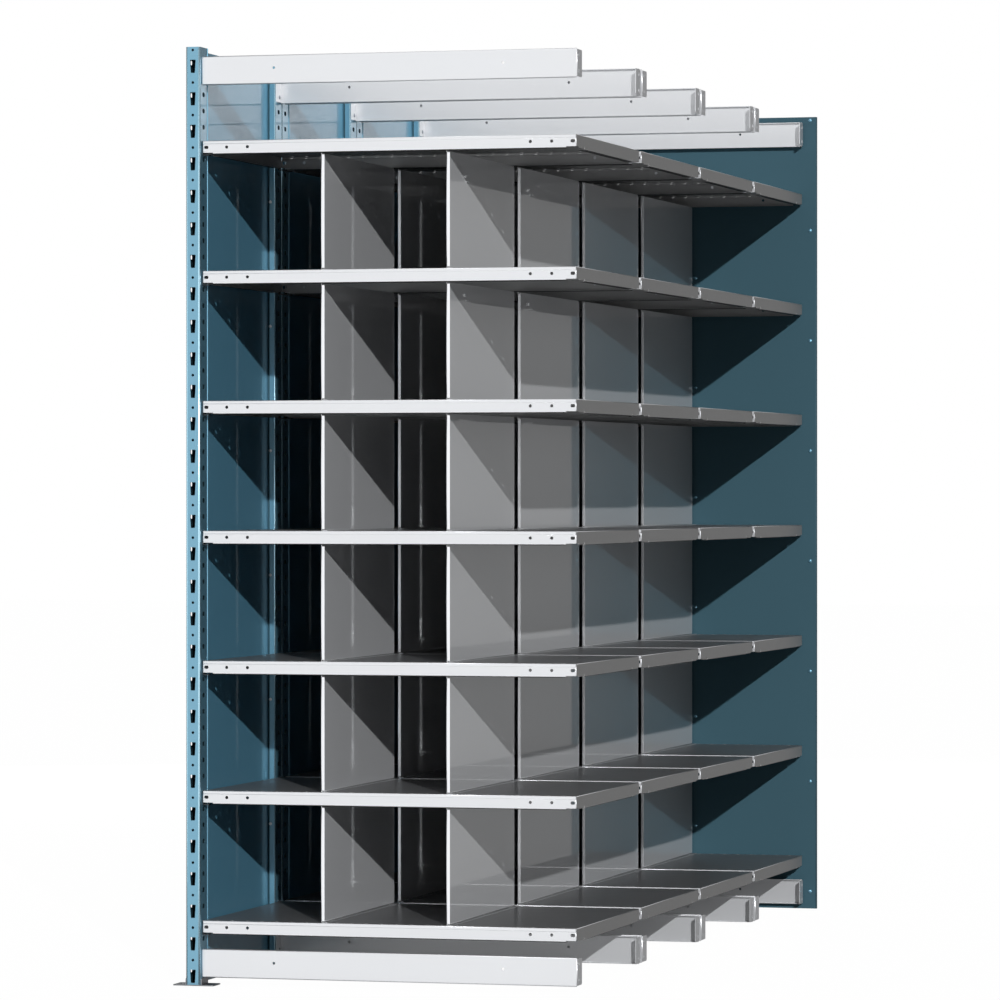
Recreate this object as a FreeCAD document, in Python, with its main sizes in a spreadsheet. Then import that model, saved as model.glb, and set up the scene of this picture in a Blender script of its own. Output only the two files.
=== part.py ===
"""Deep bin shelving bay: left-hand posts and panels, box-formed shelves, bin dividers and base beams.

Millimetres, +Z up, the bins open towards -Y. The origin is on the floor, below the middle of the
outer box. The bay is the add-on kind: its right-hand end has no posts and is bolted to the next bay.
"""
import FreeCAD, Part
import os
import Sketcher
from FreeCAD import Placement, Rotation, Vector

SECTIONS = 4
LEVELS = 7
BIN_COLUMNS = 3
TOLERANCE = 1e-6

# Driving dimensions: name, size, what it is
SIZES = [
    ("bay_width", 910, "clear width between this bay's posts and the next bay's posts"),
    ("post_width", 35, "post across its face"),
    ("post_depth", 58, "post from its face to its lips"),
    ("post_sheet", 2, "post wall"),
    ("post_bend", 1.5, "inside radius of the bends beside the post face"),
    ("post_opening", 9, "open slot between the two post lips"),
    ("post_reach", 12.7, "post face ahead of the shelf front"),
    ("slot_pitch", 76.2, "step between keyhole slots"),
    ("slot_first", 4.5, "lowest slot above the post end"),
    ("slot_margin", 15, "least height of post above the top slot"),
    ("slot_height", 31, "keyhole slot height"),
    ("slot_top_width", 14, "keyhole slot width at its top"),
    ("slot_bottom_width", 10, "keyhole slot width at its bottom"),
    ("shelf_depth", 609.6, "shelf front to back"),
    ("shelf_height", 32, "shelf flange height"),
    ("shelf_sheet", 1.2, "shelf wall"),
    ("shelf_return", 16, "shelf flange's inward return"),
    ("shelf_front_cutback", 25, "front and rear returns stop this far from the corners"),
    ("shelf_end_cutback", 75, "end returns stop this far from the corners"),
    ("shelf_pitch", 304.8, "step between shelf levels"),
    ("shelf_clearance", 0.5, "shelf end to clip"),
    ("beam_height", 67, "base and top beam height"),
    ("beam_flange", 32, "beam flange, from the beam face"),
    ("beam_plate", 42, "beam end plate, from the beam face"),
    ("beam_sheet", 2, "beam wall"),
    ("beam_floor_gap", 19.5, "floor to the base beam"),
    ("beam_top_gap", 22, "top beam to the post top"),
    ("low_gap", 34.5, "base beam to the lowest shelf"),
    ("head_gap", 131, "highest shelf to the top beam"),
    ("divider_sheet", 1, "divider wall"),
    ("divider_flange", 7, "divider's front and rear flange"),
    ("divider_foot", 13, "divider's flange along the shelf"),
    ("divider_setback", 6, "divider front edge behind the shelf front"),
    ("divider_rear_setback", 33, "divider rear edge ahead of the shelf rear"),
    ("divider_shift", 3.5, "divider web to the left of the bin line"),
    ("divider_relief", 4, "front and rear flanges stop this far above the shelf"),
    ("divider_clearance", 0.3, "divider to the shelf above it"),
    ("side_sheet", 1, "side panel wall"),
    ("side_flange", 11, "side panel flange behind the post lip"),
    ("side_floor_gap", 4, "floor to the side panel"),
    ("back_sheet", 1.2, "back panel wall"),
    ("back_flange", 12, "back panel's stiffening flange"),
    ("back_floor_gap", 5.5, "floor to the back panel"),
    ("panel_top_gap", 6, "panels below the post top"),
    ("foot_sheet", 2.5, "foot plate wall"),
    ("foot_overhang", 32.5, "foot plate beside the post"),
    ("foot_ear_gap", 2, "foot plate's ears below the base beam"),
    ("anchor_hole", 10, "floor anchor hole across"),
    ("anchor_inset", 16, "floor anchor hole from the foot plate's outer end"),
    ("clip_sheet", 2, "shelf clip wall"),
    ("clip_ledge", 16, "shelf clip ledge under the shelf"),
    ("clip_rise", 20, "shelf clip leg above its ledge"),
    ("clip_width", 20, "shelf clip along the post wall"),
    ("clip_inset", 27, "shelf clip centre behind the post face"),
]

doc = FreeCAD.newDocument("bin_shelving")
sheet = doc.addObject("Spreadsheet::Sheet", "sheet")
for row, (name, size, note) in enumerate(SIZES, start=1):
    sheet.set("A%d" % row, note)
    sheet.set("B%d" % row, str(size))
    sheet.setAlias("B%d" % row, name)
doc.recompute()

# Worked-out places, as expressions of the sheet
SECTION_PITCH = "(sheet.shelf_depth + 2 * sheet.post_reach)"
SHELF_GAP = "(sheet.clip_sheet + sheet.shelf_clearance)"
SHELF_LENGTH = "(sheet.bay_width - 2 * %s)" % SHELF_GAP
LOWEST_SHELF = "(sheet.beam_floor_gap + sheet.beam_height + sheet.low_gap)"
HIGHEST_SHELF = "(%s + %d * sheet.shelf_pitch)" % (LOWEST_SHELF, LEVELS - 1)
TOP_BEAM = "(%s + sheet.shelf_height + sheet.head_gap)" % HIGHEST_SHELF
POST_TOP = "(%s + sheet.beam_height + sheet.beam_top_gap)" % TOP_BEAM
POST_LENGTH = "(%s - sheet.foot_sheet)" % POST_TOP
PANEL_TOP = "(%s - sheet.panel_top_gap)" % POST_TOP
SLOT_ROOM = "(%s - sheet.slot_first - sheet.slot_height - sheet.slot_margin)" % POST_LENGTH
SLOT_COUNT = "(floor(%s / sheet.slot_pitch) + 1)" % SLOT_ROOM
DIVIDER_HEIGHT = "(sheet.shelf_pitch - sheet.shelf_height - sheet.divider_clearance)"
DIVIDER_DEPTH = "(sheet.shelf_depth - sheet.divider_setback - sheet.divider_rear_setback)"
BACK_WIDTH = "(sheet.bay_width + 2 * sheet.post_width)"
EAR_TOP = "(sheet.beam_floor_gap - sheet.foot_ear_gap)"

# The left wall plane of the bay and the front of the first post, seen from the origin
BAY_LEFT = "(-(sheet.bay_width - sheet.foot_overhang) / 2)"
BAY_FRONT = "(-(%d * %s + sheet.back_flange) / 2)" % (SECTIONS, SECTION_PITCH)


def number(expression):
    """Present value of a sheet expression."""
    return float(sheet.evalExpression(expression))


def new_body(name):
    return doc.addObject("PartDesign::Body", name)


def new_sketch(body, name, role):
    """Empty sketch on one of the body's own origin planes."""
    plane = next(feature for feature in body.Origin.OriginFeatures if feature.Role == role)
    sketch = body.newObject("Sketcher::SketchObject", name)
    sketch.AttachmentSupport = (plane, [""])
    sketch.MapMode = "FlatFace"
    return sketch


def pin_point(sketch, curve, end, across, up):
    """Tie one point of a sketch to a place given by two sheet expressions."""
    for kind, expression in (("DistanceX", across), ("DistanceY", up)):
        place = Sketcher.Constraint(kind, -1, 1, curve, end, number(expression))
        index = sketch.addConstraint(place)
        sketch.setExpression("Constraints[%d]" % index, expression)


def draw_outline(sketch, corners):
    """Closed outline through corners given as pairs of sheet expressions."""
    points = [Vector(number(across), number(up), 0) for across, up in corners]
    lines = []
    for start, end in zip(points, points[1:] + points[:1]):
        lines.append(sketch.addGeometry(Part.LineSegment(start, end), False))
    for line, following in zip(lines, lines[1:] + lines[:1]):
        sketch.addConstraint(Sketcher.Constraint("Coincident", line, 2, following, 1))
    for line, (across, up) in zip(lines, corners):
        pin_point(sketch, line, 1, across, up)


def draw_box(sketch, left, bottom, right, top):
    draw_outline(sketch, [(left, bottom), (right, bottom), (right, top), (left, top)])


def draw_hole(sketch, across, up, diameter):
    centre = Vector(number(across), number(up), 0)
    circle = sketch.addGeometry(Part.Circle(centre, Vector(0, 0, 1), number(diameter) / 2), False)
    pin_point(sketch, circle, 3, across, up)
    index = sketch.addConstraint(Sketcher.Constraint("Diameter", circle, number(diameter)))
    sketch.setExpression("Constraints[%d]" % index, diameter)


def pad(body, sketch, length):
    feature = body.newObject("PartDesign::Pad", sketch.Name + "_pad")
    feature.Profile = sketch
    feature.setExpression("Length", length)
    doc.recompute()
    return feature


def pocket(body, sketch, length):
    """Cut a sketch to a depth, into the solid, and make sure that it took material away."""
    before = body.Shape.Volume
    feature = body.newObject("PartDesign::Pocket", sketch.Name + "_pocket")
    feature.Profile = sketch
    feature.setExpression("Length", length)
    doc.recompute()
    if body.Shape.Volume > before - TOLERANCE:
        feature.Reversed = True
        doc.recompute()
    if body.Shape.Volume > before - TOLERANCE:
        raise RuntimeError(feature.Name + " cuts nothing")
    return feature


def repeat(body, feature, role, length, count):
    """Linear pattern of one feature along an axis of the body's origin."""
    axis = next(line for line in body.Origin.OriginFeatures if line.Role == role)
    pattern = body.newObject("PartDesign::LinearPattern", feature.Name + "_pattern")
    pattern.Originals = [feature]
    pattern.Direction = (axis, [""])
    pattern.setExpression("Length", length)
    pattern.setExpression("Occurrences", count)
    body.Tip = pattern
    doc.recompute()
    return pattern


def upright_edges(shape, across, depth):
    """Names of the edges that stand at +-across and at one depth."""
    names = []
    for index, edge in enumerate(shape.Edges, start=1):
        ends = [vertex.Point for vertex in edge.Vertexes]
        upright = abs(ends[0].x - ends[-1].x) < TOLERANCE
        offsets = [max(abs(abs(end.x) - across), abs(end.y - depth)) for end in ends]
        if upright and max(offsets) < TOLERANCE:
            names.append("Edge%d" % index)
    return names


def round_bend(body, base, across, depth, radius):
    """Round the two upright edges of a post's bend."""
    fillet = body.newObject("PartDesign::Fillet", "bend")
    fillet.Base = (base, upright_edges(base.Shape, number(across), number(depth)))
    fillet.setExpression("Radius", radius)
    doc.recompute()
    return fillet


def make_post():
    """Lipped channel with tapered keyhole slots up its face; the face is at Y = 0, lips to +Y."""
    body = new_body("post_pattern")
    half = "(sheet.post_width / 2)"
    inner = "(sheet.post_width / 2 - sheet.post_sheet)"
    lip = "(sheet.post_opening / 2)"
    wall = "sheet.post_sheet"
    back = "sheet.post_depth"
    lip_front = "(sheet.post_depth - sheet.post_sheet)"
    right_side = [(half, "0"), (half, back), (lip, back),
                  (lip, lip_front), (inner, lip_front), (inner, wall)]
    left_side = [("-" + across, depth) for across, depth in reversed(right_side)]
    profile = new_sketch(body, "post_profile", "XY_Plane")
    draw_outline(profile, right_side + left_side)
    channel = pad(body, profile, POST_LENGTH)
    outer = round_bend(body, channel, half, "0", "sheet.post_bend + sheet.post_sheet")
    round_bend(body, outer, inner, wall, "sheet.post_bend")

    wide = "(sheet.slot_top_width / 2)"
    narrow = "(sheet.slot_bottom_width / 2)"
    low = "sheet.slot_first"
    high = "(sheet.slot_first + sheet.slot_height)"
    keyhole = new_sketch(body, "keyhole", "XZ_Plane")
    draw_outline(keyhole, [("-" + narrow, low), (narrow, low), (wide, high), ("-" + wide, high)])
    slot = pocket(body, keyhole, "2 * sheet.post_sheet")
    repeat(body, slot, "Z_Axis", "sheet.slot_pitch * (%s - 1)" % SLOT_COUNT, SLOT_COUNT)
    return body


def make_shelf():
    """Box-formed shelf: a tray turned over, with inward returns cut back at its corners."""
    body = new_body("shelf_pattern")
    wall = "sheet.shelf_sheet"
    inner_right = "(%s - sheet.shelf_sheet)" % SHELF_LENGTH
    inner_back = "(sheet.shelf_depth - sheet.shelf_sheet)"
    outline = new_sketch(body, "shelf_outline", "XY_Plane")
    draw_box(outline, "0", "0", SHELF_LENGTH, "sheet.shelf_depth")
    pad(body, outline, "sheet.shelf_height")
    hollow = new_sketch(body, "shelf_hollow", "XY_Plane")
    draw_box(hollow, wall, wall, inner_right, inner_back)
    pocket(body, hollow, "sheet.shelf_height - sheet.shelf_sheet")

    lap = "(sheet.shelf_sheet + sheet.shelf_return)"
    far_right = "(%s - %s)" % (SHELF_LENGTH, lap)
    far_back = "(sheet.shelf_depth - %s)" % lap
    front_end = "(%s - sheet.shelf_front_cutback)" % SHELF_LENGTH
    side_end = "(sheet.shelf_depth - sheet.shelf_end_cutback)"
    returns = new_sketch(body, "shelf_returns", "XY_Plane")
    draw_box(returns, "sheet.shelf_front_cutback", wall, front_end, lap)
    draw_box(returns, "sheet.shelf_front_cutback", far_back, front_end, inner_back)
    draw_box(returns, wall, "sheet.shelf_end_cutback", lap, side_end)
    draw_box(returns, far_right, "sheet.shelf_end_cutback", inner_right, side_end)
    pad(body, returns, wall)
    return body


def make_beam():
    """Channel beam: face at Y = 0, flanges to +Y, and a deeper plate across each end."""
    body = new_body("beam_pattern")
    top = "sheet.beam_height"
    wall = "sheet.beam_sheet"
    under_top = "(sheet.beam_height - sheet.beam_sheet)"
    lip = "sheet.beam_flange"
    profile = new_sketch(body, "beam_profile", "YZ_Plane")
    draw_outline(profile, [("0", "0"), (lip, "0"), (lip, wall), (wall, wall),
                           (wall, under_top), (lip, under_top), (lip, top), ("0", top)])
    pad(body, profile, "sheet.bay_width")

    plate = new_sketch(body, "beam_plate_outline", "YZ_Plane")
    draw_box(plate, "0", "0", "sheet.beam_plate", top)
    end_plate = pad(body, plate, wall)
    repeat(body, end_plate, "X_Axis", "sheet.bay_width - sheet.beam_sheet", "2")
    return body


def make_divider():
    """Bin divider: web at X = 0, front and rear flanges to -X, foot flange along the shelf to +X."""
    body = new_body("divider_pattern")
    wall = "sheet.divider_sheet"
    edge = "-sheet.divider_flange"
    depth = DIVIDER_DEPTH
    rear_wall = "(%s - sheet.divider_sheet)" % DIVIDER_DEPTH
    profile = new_sketch(body, "divider_profile", "XY_Plane")
    draw_outline(profile, [(edge, "0"), (wall, "0"), (wall, depth), (edge, depth),
                           (edge, rear_wall), ("0", rear_wall), ("0", wall), (edge, wall)])
    pad(body, profile, DIVIDER_HEIGHT)
    relief = new_sketch(body, "divider_relief_cut", "XZ_Plane")
    draw_box(relief, edge, "0", "0", "sheet.divider_relief")
    pocket(body, relief, depth)
    foot = new_sketch(body, "divider_foot_outline", "XY_Plane")
    draw_box(foot, "0", "0", "(sheet.divider_sheet + sheet.divider_foot)", depth)
    pad(body, foot, wall)
    return body


def make_side_panel():
    """Sheet through the slots of two posts: inner face at X = 0, edge flanges hooked behind the lips."""
    body = new_body("side_panel_pattern")
    front = "(sheet.post_depth - sheet.post_sheet - sheet.side_sheet)"
    rear = "(%s - %s)" % (SECTION_PITCH, front)
    wall = "-sheet.side_sheet"
    flange = "-sheet.side_flange"
    inner_front = "(%s + sheet.side_sheet)" % front
    inner_rear = "(%s - sheet.side_sheet)" % rear
    profile = new_sketch(body, "side_panel_profile", "XY_Plane")
    draw_outline(profile, [("0", front), ("0", rear), (flange, rear), (flange, inner_rear),
                           (wall, inner_rear), (wall, inner_front), (flange, inner_front), (flange, front)])
    pad(body, profile, "%s - sheet.side_floor_gap" % PANEL_TOP)
    return body


def make_back_panel():
    """Sheet across the rear of the bay, front face at Y = 0, with an edge flange at each side."""
    body = new_body("back_panel_pattern")
    width = BACK_WIDTH
    wall = "sheet.back_sheet"
    inner_right = "(%s - %s)" % (width, wall)
    edge = "sheet.back_flange"
    profile = new_sketch(body, "back_panel_profile", "XY_Plane")
    draw_outline(profile, [("0", "0"), (width, "0"), (width, edge), (inner_right, edge),
                           (inner_right, wall), (wall, wall), (wall, edge), ("0", edge)])
    pad(body, profile, "%s - sheet.back_floor_gap" % PANEL_TOP)
    return body


def make_foot_plate():
    """Plate under a post, with an ear up each post wall and a floor anchor hole on its outer side."""
    body = new_body("foot_plate_pattern")
    wall = "sheet.foot_sheet"
    left = "-sheet.foot_overhang"
    right = "(sheet.post_width + sheet.foot_overhang)"
    ear_right = "(sheet.post_width + sheet.foot_sheet)"
    profile = new_sketch(body, "foot_profile", "XZ_Plane")
    draw_outline(profile, [(left, "0"), (right, "0"), (right, wall), (ear_right, wall),
                           (ear_right, EAR_TOP), ("sheet.post_width", EAR_TOP), ("sheet.post_width", wall),
                           ("0", wall), ("0", EAR_TOP), ("-sheet.foot_sheet", EAR_TOP),
                           ("-sheet.foot_sheet", wall), (left, wall)])
    plate = pad(body, profile, "sheet.post_depth")
    plate.Reversed = True
    doc.recompute()
    anchors = new_sketch(body, "foot_anchors", "XY_Plane")
    middle = "(sheet.post_depth / 2)"
    draw_hole(anchors, "(-sheet.foot_overhang + sheet.anchor_inset)", middle, "sheet.anchor_hole")
    pocket(body, anchors, "2 * sheet.foot_sheet")
    return body


def make_shelf_clip():
    """Bent clip: leg flat on the post wall at X = 0, ledge under the shelf's end flange."""
    body = new_body("clip_pattern")
    wall = "sheet.clip_sheet"
    top = "(sheet.clip_sheet + sheet.clip_rise)"
    profile = new_sketch(body, "clip_profile", "XZ_Plane")
    draw_outline(profile, [("0", "0"), ("sheet.clip_ledge", "0"), ("sheet.clip_ledge", wall), (wall, wall),
                           (wall, top), ("0", top)])
    bent = pad(body, profile, "sheet.clip_width")
    bent.Reversed = True
    doc.recompute()
    return body


def place(pattern, label, x, y, z, turned=False):
    """One copy of a pattern piece, at a place given by sheet expressions, turned about Z if asked."""
    piece = doc.addObject("Part::Compound", label)
    piece.Label = label
    piece.Links = [pattern]
    if turned:
        piece.Placement = Placement(Vector(), Rotation(Vector(0, 0, 1), 180))
    for axis, expression in (("x", x), ("y", y), ("z", z)):
        piece.setExpression("Placement.Base." + axis, expression)
    return piece


def gather(label, pieces):
    """A set of like pieces that share one name."""
    group = doc.addObject("Part::Compound", label)
    group.Label = label
    group.Links = pieces
    return group


def section_front(section):
    return "(%s + %d * %s)" % (BAY_FRONT, section, SECTION_PITCH)


def section_rear(section):
    return section_front(section + 1)


def shelf_bottom(level):
    return "(%s + %d * sheet.shelf_pitch)" % (LOWEST_SHELF, level)


def place_posts(post):
    middle = "%s - sheet.post_width / 2" % BAY_LEFT
    nodes = []
    for section in range(SECTIONS):
        front = "post_front_%d" % (section + 1)
        rear = "post_rear_%d" % (section + 1)
        nodes.append(place(post, front, middle, section_front(section), "sheet.foot_sheet"))
        nodes.append(place(post, rear, middle, section_rear(section), "sheet.foot_sheet", turned=True))
    return nodes


def place_feet(foot_plate):
    left = "%s - sheet.post_width" % BAY_LEFT
    feet = []
    for section in range(SECTIONS):
        rear = "%s - sheet.post_depth" % section_rear(section)
        feet.append(place(foot_plate, "foot_front_%d" % (section + 1), left, section_front(section), "0"))
        feet.append(place(foot_plate, "foot_rear_%d" % (section + 1), left, rear, "0"))
    return gather("foot_plates", feet)


def place_side_panels(side_panel):
    inner = "%s - (sheet.post_width - sheet.side_sheet) / 2" % BAY_LEFT
    nodes = []
    for section in range(SECTIONS):
        label = "side_panel_%d" % (section + 1)
        nodes.append(place(side_panel, label, inner, section_front(section), "sheet.side_floor_gap"))
    return nodes


def place_shelves(shelf):
    left = "%s + %s" % (BAY_LEFT, SHELF_GAP)
    nodes = []
    for section in range(SECTIONS):
        front = "%s + sheet.post_reach" % section_front(section)
        for level in range(LEVELS):
            label = "shelf_row%d_level%d" % (section + 1, level + 1)
            nodes.append(place(shelf, label, left, front, shelf_bottom(level)))
    return nodes


def place_clips(clip):
    clips = []
    for section in range(SECTIONS):
        front = "%s + sheet.clip_inset - sheet.clip_width / 2" % section_front(section)
        rear = "%s - sheet.clip_inset - sheet.clip_width / 2" % section_rear(section)
        for level in range(LEVELS):
            under = "%s - sheet.clip_sheet" % shelf_bottom(level)
            spot = "%d_%d" % (section + 1, level + 1)
            clips.append(place(clip, "clip_front_" + spot, BAY_LEFT, front, under))
            clips.append(place(clip, "clip_rear_" + spot, BAY_LEFT, rear, under))
    return gather("shelf_clips", clips)


def place_dividers(divider):
    nodes = []
    for section in range(SECTIONS):
        front = "%s + sheet.post_reach + sheet.divider_setback" % section_front(section)
        for column in range(1, BIN_COLUMNS):
            line = "%s + %s + %s * %d / %d" % (BAY_LEFT, SHELF_GAP, SHELF_LENGTH, column, BIN_COLUMNS)
            web = "%s - sheet.divider_shift - sheet.divider_sheet / 2" % line
            pieces = []
            for level in range(LEVELS - 1):
                label = "divider_%d_%d_%d" % (section + 1, column, level + 1)
                top = "%s + sheet.shelf_height" % shelf_bottom(level)
                pieces.append(place(divider, label, web, front, top))
            nodes.append(gather("dividers_row%d_line%d" % (section + 1, column), pieces))
    return nodes


def place_beams(beam):
    far_end = "%s + sheet.bay_width" % BAY_LEFT
    nodes = []
    for section in range(SECTIONS):
        front = "%s + sheet.post_reach" % section_front(section)
        rear = "%s - sheet.post_reach" % section_rear(section)
        for level, height in (("base", "sheet.beam_floor_gap"), ("top", TOP_BEAM)):
            spot = "%s_%d" % (level, section + 1)
            pair = [place(beam, "beam_front_" + spot, BAY_LEFT, front, height),
                    place(beam, "beam_rear_" + spot, far_end, rear, height, turned=True)]
            nodes.append(gather("%s_beams_%d" % (level, section + 1), pair))
    return nodes


def build():
    """Every node of the bay."""
    nodes = place_posts(make_post())
    nodes.append(place_feet(make_foot_plate()))
    nodes += place_side_panels(make_side_panel())
    back_left = "%s - sheet.post_width" % BAY_LEFT
    back_front = section_rear(SECTIONS - 1)
    nodes.append(place(make_back_panel(), "back_panel", back_left, back_front, "sheet.back_floor_gap"))
    nodes += place_shelves(make_shelf())
    nodes.append(place_clips(make_shelf_clip()))
    nodes += place_dividers(make_divider())
    nodes += place_beams(make_beam())
    doc.recompute()
    return nodes


def check(nodes):
    """Stop if a feature failed or a node has no sound shape."""
    failed = [item.Name for item in doc.Objects if "Invalid" in item.State or "Error" in item.State]
    if failed:
        raise RuntimeError("failed features: " + ", ".join(failed))
    for node in nodes:
        if node.Shape.isNull() or not node.Shape.isValid() or not node.Shape.Solids:
            raise RuntimeError(node.Label + " has no sound shape")


nodes = build()
check(nodes)
os.makedirs("parts", exist_ok=True)
for node in nodes:
    node.Shape.exportStep(os.path.join("parts", node.Label + ".step"))
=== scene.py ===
import math

import bmesh
import bpy
from mathutils import Matrix, Vector
from mathutils.geometry import delaunay_2d_cdt


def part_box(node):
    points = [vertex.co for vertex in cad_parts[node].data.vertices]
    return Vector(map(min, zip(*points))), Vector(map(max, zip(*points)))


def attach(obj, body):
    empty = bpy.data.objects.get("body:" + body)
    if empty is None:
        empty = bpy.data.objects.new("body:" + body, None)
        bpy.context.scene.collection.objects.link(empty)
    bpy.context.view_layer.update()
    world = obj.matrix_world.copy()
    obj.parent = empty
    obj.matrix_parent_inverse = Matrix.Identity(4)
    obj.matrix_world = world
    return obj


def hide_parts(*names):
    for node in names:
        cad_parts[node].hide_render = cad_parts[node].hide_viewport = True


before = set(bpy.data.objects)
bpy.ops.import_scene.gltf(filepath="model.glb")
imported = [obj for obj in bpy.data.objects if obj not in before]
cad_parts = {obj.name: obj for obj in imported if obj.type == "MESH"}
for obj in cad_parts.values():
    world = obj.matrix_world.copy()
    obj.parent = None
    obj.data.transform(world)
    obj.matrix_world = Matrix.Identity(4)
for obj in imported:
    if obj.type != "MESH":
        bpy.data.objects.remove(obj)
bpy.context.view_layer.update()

MM = 0.001
QUARTER = math.pi / 2

# Sheet: facets of bends, corners and holes, slot rounding as a share of height, and the cutting into faces
BEND_FACETS = 4
CORNER_FACETS = 3
HOLE_SIDES = 14
SLOT_ROUNDING = 0.4
JOIN = 1e-6
VALID_FACES = 4

# Counts
SECTIONS = 4
LEVELS = 7
DIVIDER_LINES = 2

# Posts: lipped channels with a row of tapered keyholes
POST_SHEET = 2 * MM
POST_BEND = 4.2 * MM
RIM_STEP = 1.6 * MM
RIM_WIDTH = 3.2 * MM
RIM_BEND = 0.8 * MM
RIM_TURN = math.radians(65)
LIP_BEND = 3.1 * MM
POST_OPENING = 8 * MM
KEYHOLE_PITCH = 76.2 * MM
KEYHOLE_FIRST = 4.5 * MM
KEYHOLE_HEIGHT = 31 * MM
KEYHOLE_TOP = 14 * MM
KEYHOLE_BOTTOM = 10 * MM
KEYHOLE_CORNER = 1.5 * MM
FACE_HOLE = 6.5 * MM
WALL_HOLE = (16 * MM, 11 * MM)
WALL_HOLE_FIRST = 31 * MM
WALL_HOLE_PITCH = 38.1 * MM
NEAR_WALL_HOLE = 27 * MM
FAR_WALL_HOLE = 38 * MM

# Shelves: box-formed trays whose front and rear flanges wrap round the corners
SHELF_SHEET = 0.9 * MM
SHELF_BEND = 1.6 * MM
SHELF_RETURN_BEND = 2 * MM
SHELF_RETURN = 16 * MM
FRONT_CUTBACK = 25 * MM
END_CUTBACK = 75 * MM
LIP_HEIGHT = 5.4 * MM
LIP_TILT = math.radians(6)
CREASE_BEND = 0.5 * MM
CREASE_TURN = math.radians(40)
CREASE_RUN = 0.8 * MM
CORNER_TAB = 24 * MM
CORNER_SEAM = 0.8 * MM
TAB_TRIM = 2 * MM
NOTCH_WIDTH = 5 * MM
NOTCH_HEIGHT = 5 * MM
FLANGE_HOLE = 7.5 * MM
FLANGE_HOLES_IN = (59 * MM, 110 * MM)
FLANGE_SLOT = (10.5 * MM, 7.5 * MM)
FLANGE_SLOT_IN = 8.8 * MM
FLANGE_HOLE_DROP = 15.5 * MM
TOP_HOLE = 7.5 * MM
TOP_HOLE_PITCH = 36.5 * MM
TOP_HOLE_COUNT = 24
TOP_HOLE_IN = 12.7 * MM

# Beams: channels with deeper end plates
BEAM_SHEET = 2 * MM
BEAM_BEND = 2.3 * MM
BEAM_FLANGE = 12 * MM
BEAM_PLATE = 42 * MM
BEAM_CORNER = 3 * MM
BEAM_RELIEF = 4 * MM
BEAM_FACE_HOLE = 6.5 * MM
BEAM_FACE_HOLE_RISE = 3.5 * MM
BEAM_FACE_HOLE_IN = 177.5 * MM
PLATE_HOLE = 9 * MM
PLATE_HOLE_PITCH = 38.1 * MM
PLATE_HOLE_BACK = 13.7 * MM

# Bin dividers: a web with a front flange and a foot to the right and a narrow rear hem to the left
DIVIDER_SHEET = 1 * MM
DIVIDER_BEND = 1.6 * MM
DIVIDER_FLANGE = 8 * MM
DIVIDER_SHIFT = -1.6 * MM
DIVIDER_SPREAD = 1.1 * MM
DIVIDER_FOOT = 13 * MM
DIVIDER_HEM = 3 * MM
DIVIDER_TAIL = 35 * MM
DIVIDER_FOOT_BEND = 1 * MM
DIVIDER_RELIEF = 4 * MM
DIVIDER_INSET = 2 * MM
DIVIDER_CLEARANCE = 0.3 * MM
FOOT_HOLE = 5.5 * MM
FOOT_HOLES = (-240 * MM, 0.0, 240 * MM)

# Panels
SIDE_SHEET = 1 * MM
SIDE_BEND = 2.5 * MM
BACK_SHEET = 1.2 * MM
BACK_BEND = 2.5 * MM

# Foot plates and shelf clips
FOOT_SHEET = 2.5 * MM
FOOT_OVERHANG = 32.5 * MM
FOOT_CORNER = 5 * MM
EAR_TOP = 17.5 * MM
EAR_CORNER = 4 * MM
ANCHOR_HOLE = 10 * MM
ANCHOR_INSET = 16 * MM
CLIP_SHEET = 2 * MM
CLIP_BEND = 1 * MM
CLIP_LEDGE = 16 * MM
CLIP_RISE = 20 * MM
CLIP_WIDTH = 20 * MM
CLIP_INSET = 27 * MM
CLIP_CORNER = 2 * MM

# Bolts: low domes on a thin washer, with a hexagon nut behind the sheet
BOLT_HEAD = 10 * MM
BOLT_RISE = 2.6 * MM
SMALL_BOLT_HEAD = 8 * MM
SMALL_BOLT_RISE = 2 * MM
BOLT_SIDES = 20
BOLT_RIM_SHARE = 0.2
DOME_SHARE = 0.94
DOME_STEPS = 6
CROWN_SHARE = 0.1
PANEL_BOLT_FIRST = 53 * MM
PANEL_BOLT_COUNT = 8
DIVIDER_BOLT_ABOVE = 76 * MM
LIP_BOLT_ABOVE = 192 * MM
LIP_BOLT_IN = 2 * MM
NUT_WIDTH = 10 * MM
NUT_RISE = 5 * MM
NUT_SIDES = 6
NUT_PROFILE = ((0.98, 0.0), (1.0, 0.1), (1.0, 0.85), (0.9, 1.0))

# Slants of a face, as parts of its normal, by which some faces get another paint
LEANING = 0.1
SLANTED = 0.3
TURNED_AWAY = 0.5
SQUARE = 0.9
NEARLY_SQUARE = 0.99


def axes(u_way, v_way, w_way):
    """Turn that lays a blank's own directions along these ways."""
    return Matrix((u_way, v_way, w_way)).transposed().to_4x4()


FACING_FRONT = axes((1, 0, 0), (0, 0, 1), (0, -1, 0))
FACING_REAR = axes((-1, 0, 0), (0, 0, 1), (0, 1, 0))
FACING_RIGHT = axes((0, 1, 0), (0, 0, 1), (1, 0, 0))
FACING_LEFT = axes((0, -1, 0), (0, 0, 1), (-1, 0, 0))
TURNED = Matrix.Rotation(math.pi, 4, "Z")


def at(x, y, z):
    """Move to a place in the frame."""
    return Matrix.Translation((x, y, z))


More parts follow.
